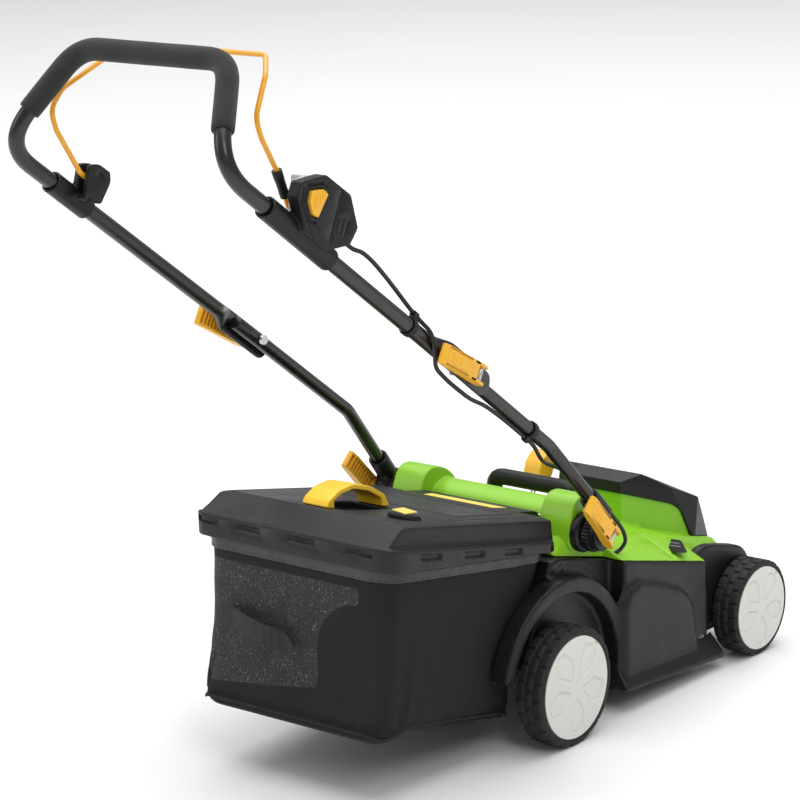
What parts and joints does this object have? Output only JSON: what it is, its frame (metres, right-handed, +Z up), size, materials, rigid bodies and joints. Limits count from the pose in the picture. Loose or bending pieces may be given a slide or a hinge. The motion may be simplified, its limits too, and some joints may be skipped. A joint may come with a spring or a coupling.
{
  "type": "lawn mower",
  "caption": "Battery rotary push mower with a folding tubular handle, bail, cam levers, hinged hood and flap, height lever and a rear grass bag that slides off.",
  "frame": {"origin": "on the ground, below the centre of the bounding box", "axes": "+X forward, +Y to the operator's left, +Z up"},
  "size_m": [1.232, 0.4688, 1.0738],
  "materials": {
    "black_plastic": "moulded, fine grain",
    "green_plastic": "satin moulded",
    "hood_plastic": "satin moulded",
    "lid_plastic": "satin moulded, fine grain",
    "yellow_plastic": "satin moulded",
    "battery_plastic": "moulded case",
    "tyre_plastic": "treaded, dull",
    "hub_plastic": "satin moulded",
    "pale_plastic": "moulded",
    "foam": "closed-cell foam",
    "cable": "smooth sheath",
    "bag_fabric": "woven and mesh cloth",
    "steel": "zinc plated",
    "painted_tube": "gloss powder coat",
    "painted_bail": "powder coat"
  },
  "bodies": {
    "deck": {"deck_shell": "black_plastic", "upper_cover": "green_plastic", "carry_handle": "black_plastic", "battery_left": "battery_plastic", "battery_right": "battery_plastic", "flap_hinge_pin": "steel", "motor": "steel", "handle_mount_left": "black_plastic", "handle_mount_right": "black_plastic", "cable_lower_fold": "cable"},
    "hood": {"battery_cover": "hood_plastic"},
    "rotor": {"motor_shaft": "steel", "blade": "steel", "blade_bolt": "steel"},
    "flap": {"rear_flap": "black_plastic"},
    "axle_rear": {"rear_axle": "steel"},
    "axle_front": {"front_axle": "steel"},
    "height_link": {"link_rod": "steel"},
    "height_control": {"height_lever": "steel", "height_knob": "yellow_plastic"},
    "wheel_rear_left": {"tyre_rear_left": "tyre_plastic", "hub_rear_left": "hub_plastic"},
    "wheel_rear_right": {"tyre_rear_right": "tyre_plastic", "hub_rear_right": "hub_plastic"},
    "wheel_front_left": {"tyre_front_left": "tyre_plastic", "hub_front_left": "hub_plastic"},
    "wheel_front_right": {"tyre_front_right": "tyre_plastic", "hub_front_right": "hub_plastic"},
    "lower_handle": {"lower_tube_left": "painted_tube", "lower_tube_right": "painted_tube", "tube_socket_left": "black_plastic", "tube_socket_right": "black_plastic", "pivot_bolt_left": "steel", "pivot_bolt_right": "steel", "clamp_bolt_left": "steel", "clamp_bolt_right": "steel", "cable_clip_lower": "black_plastic", "cable_lower": "cable", "cable_upper_fold": "cable"},
    "lever_upper_left": {"cam_lever_upper_left": "yellow_plastic"},
    "lever_upper_right": {"cam_lever_upper_right": "yellow_plastic"},
    "lever_lower_left": {"cam_lever_lower_left": "yellow_plastic"},
    "lever_lower_right": {"cam_lever_lower_right": "yellow_plastic"},
    "upper_handle": {"upper_tube": "painted_tube", "foam_grip": "foam", "bail_bracket": "black_plastic", "switch_housing": "black_plastic", "switch_housing_inner": "pale_plastic", "cable_clip_upper": "black_plastic", "cable_upper": "cable"},
    "start_button": {"start_button": "yellow_plastic"},
    "bail": {"bail_bar": "painted_bail", "bail_boot": "black_plastic"},
    "grass_bag": {"bag_lid": "lid_plastic", "bag_fabric": "bag_fabric", "bag_handle": "yellow_plastic", "bag_strap": "bag_fabric", "fill_indicator": "yellow_plastic"}
  },
  "joints": [
    {"name": "rear_axle_crank", "type": "hinge", "parent": "deck", "child": "axle_rear", "pos_m": [0.088, 0, 0.1], "axis": [0, 1, 0], "range_deg": [-12, 12]},
    {"name": "front_axle_crank", "type": "hinge", "parent": "deck", "child": "axle_front", "pos_m": [0.586, 0, 0.087], "axis": [0, 1, 0], "range_deg": [-12, 12]},
    {"name": "height_link_slide", "type": "slide", "parent": "deck", "child": "height_link", "axis": [1, 0, 0], "range_m": [-0.0095, 0.0095]},
    {"name": "height_lever_hinge", "type": "hinge", "parent": "deck", "child": "height_control", "pos_m": [0.354, 0.112, 0.158], "axis": [0, 1, 0], "range_deg": [-10.2, 10.2]},
    {"name": "wheel_rear_left_spin", "type": "hinge", "parent": "axle_rear", "child": "wheel_rear_left", "pos_m": [0.042, 0.21, 0.089], "axis": [0, 1, 0], "continuous": true},
    {"name": "wheel_rear_right_spin", "type": "hinge", "parent": "axle_rear", "child": "wheel_rear_right", "pos_m": [0.042, -0.21, 0.089], "axis": [0, 1, 0], "continuous": true},
    {"name": "wheel_front_left_spin", "type": "hinge", "parent": "axle_front", "child": "wheel_front_left", "pos_m": [0.54, 0.21, 0.076], "axis": [0, 1, 0], "continuous": true},
    {"name": "wheel_front_right_spin", "type": "hinge", "parent": "axle_front", "child": "wheel_front_right", "pos_m": [0.54, -0.21, 0.076], "axis": [0, 1, 0], "continuous": true},
    {"name": "blade_spin", "type": "hinge", "parent": "deck", "child": "rotor", "pos_m": [0.31, 0, 0.06], "axis": [0, 0, 1], "continuous": true},
    {"name": "hood_hinge", "type": "hinge", "parent": "deck", "child": "hood", "pos_m": [0.603, 0, 0.1485], "axis": [0, 1, 0], "range_deg": [0, 70]},
    {"name": "rear_flap_hinge", "type": "hinge", "parent": "deck", "child": "flap", "pos_m": [0.138, 0, 0.303], "axis": [0, 1, 0], "range_deg": [0, 60]},
    {"name": "handle_fold", "type": "hinge", "parent": "deck", "child": "lower_handle", "pos_m": [0.146, 0, 0.288], "axis": [0, 1, 0], "range_deg": [0, 118], "deforming": ["cable_lower_fold"]},
    {"name": "upper_handle_fold", "type": "hinge", "parent": "lower_handle", "child": "upper_handle", "pos_m": [-0.1542, 0, 0.5924], "axis": [0, -1, 0], "range_deg": [0, 150], "deforming": ["cable_upper_fold"]},
    {"name": "lever_upper_left_hinge", "type": "hinge", "parent": "lower_handle", "child": "lever_upper_left", "pos_m": [-0.1542, 0.218, 0.5924], "axis": [-0.4907, 0, -0.8713], "range_deg": [0, 100]},
    {"name": "lever_upper_right_hinge", "type": "hinge", "parent": "lower_handle", "child": "lever_upper_right", "pos_m": [-0.1542, -0.218, 0.5924], "axis": [0.4907, 0, 0.8713], "range_deg": [0, 100]},
    {"name": "lever_lower_left_hinge", "type": "hinge", "parent": "lower_handle", "child": "lever_lower_left", "pos_m": [0.146, 0.2235, 0.288], "axis": [-0.7331, 0, -0.6801], "range_deg": [0, 100]},
    {"name": "lever_lower_right_hinge", "type": "hinge", "parent": "lower_handle", "child": "lever_lower_right", "pos_m": [0.146, -0.2235, 0.288], "axis": [0.7331, 0, 0.6801], "range_deg": [0, 100]},
    {"name": "start_button_press", "type": "slide", "parent": "upper_handle", "child": "start_button", "axis": [0, 1, 0], "range_m": [0, 0.004], "stiffness_N_per_m": 400, "springref_m": -0.003},
    {"name": "bail_pull", "type": "hinge", "parent": "upper_handle", "child": "bail", "pos_m": [-0.48, 0, 0.868], "axis": [0, -1, 0], "range_deg": [0, 12.5], "stiffness_Nm_per_rad": 2, "springref_deg": -20.05},
    {"name": "bag_slide", "type": "slide", "parent": "deck", "child": "grass_bag", "axis": [-0.9781, 0, 0.2083], "range_m": [0, 0.25]}
  ],
  "couplings": [
    {"joint": "front_axle_crank", "follows": "rear_axle_crank", "ratio": 1},
    {"joint": "height_lever_hinge", "follows": "rear_axle_crank", "ratio": 0.85},
    {"joint": "height_link_slide", "follows": "rear_axle_crank", "m_per_rad": 0.043},
    {"joint": "upper_handle_fold", "follows": "handle_fold", "ratio": 1.27}
  ]
}
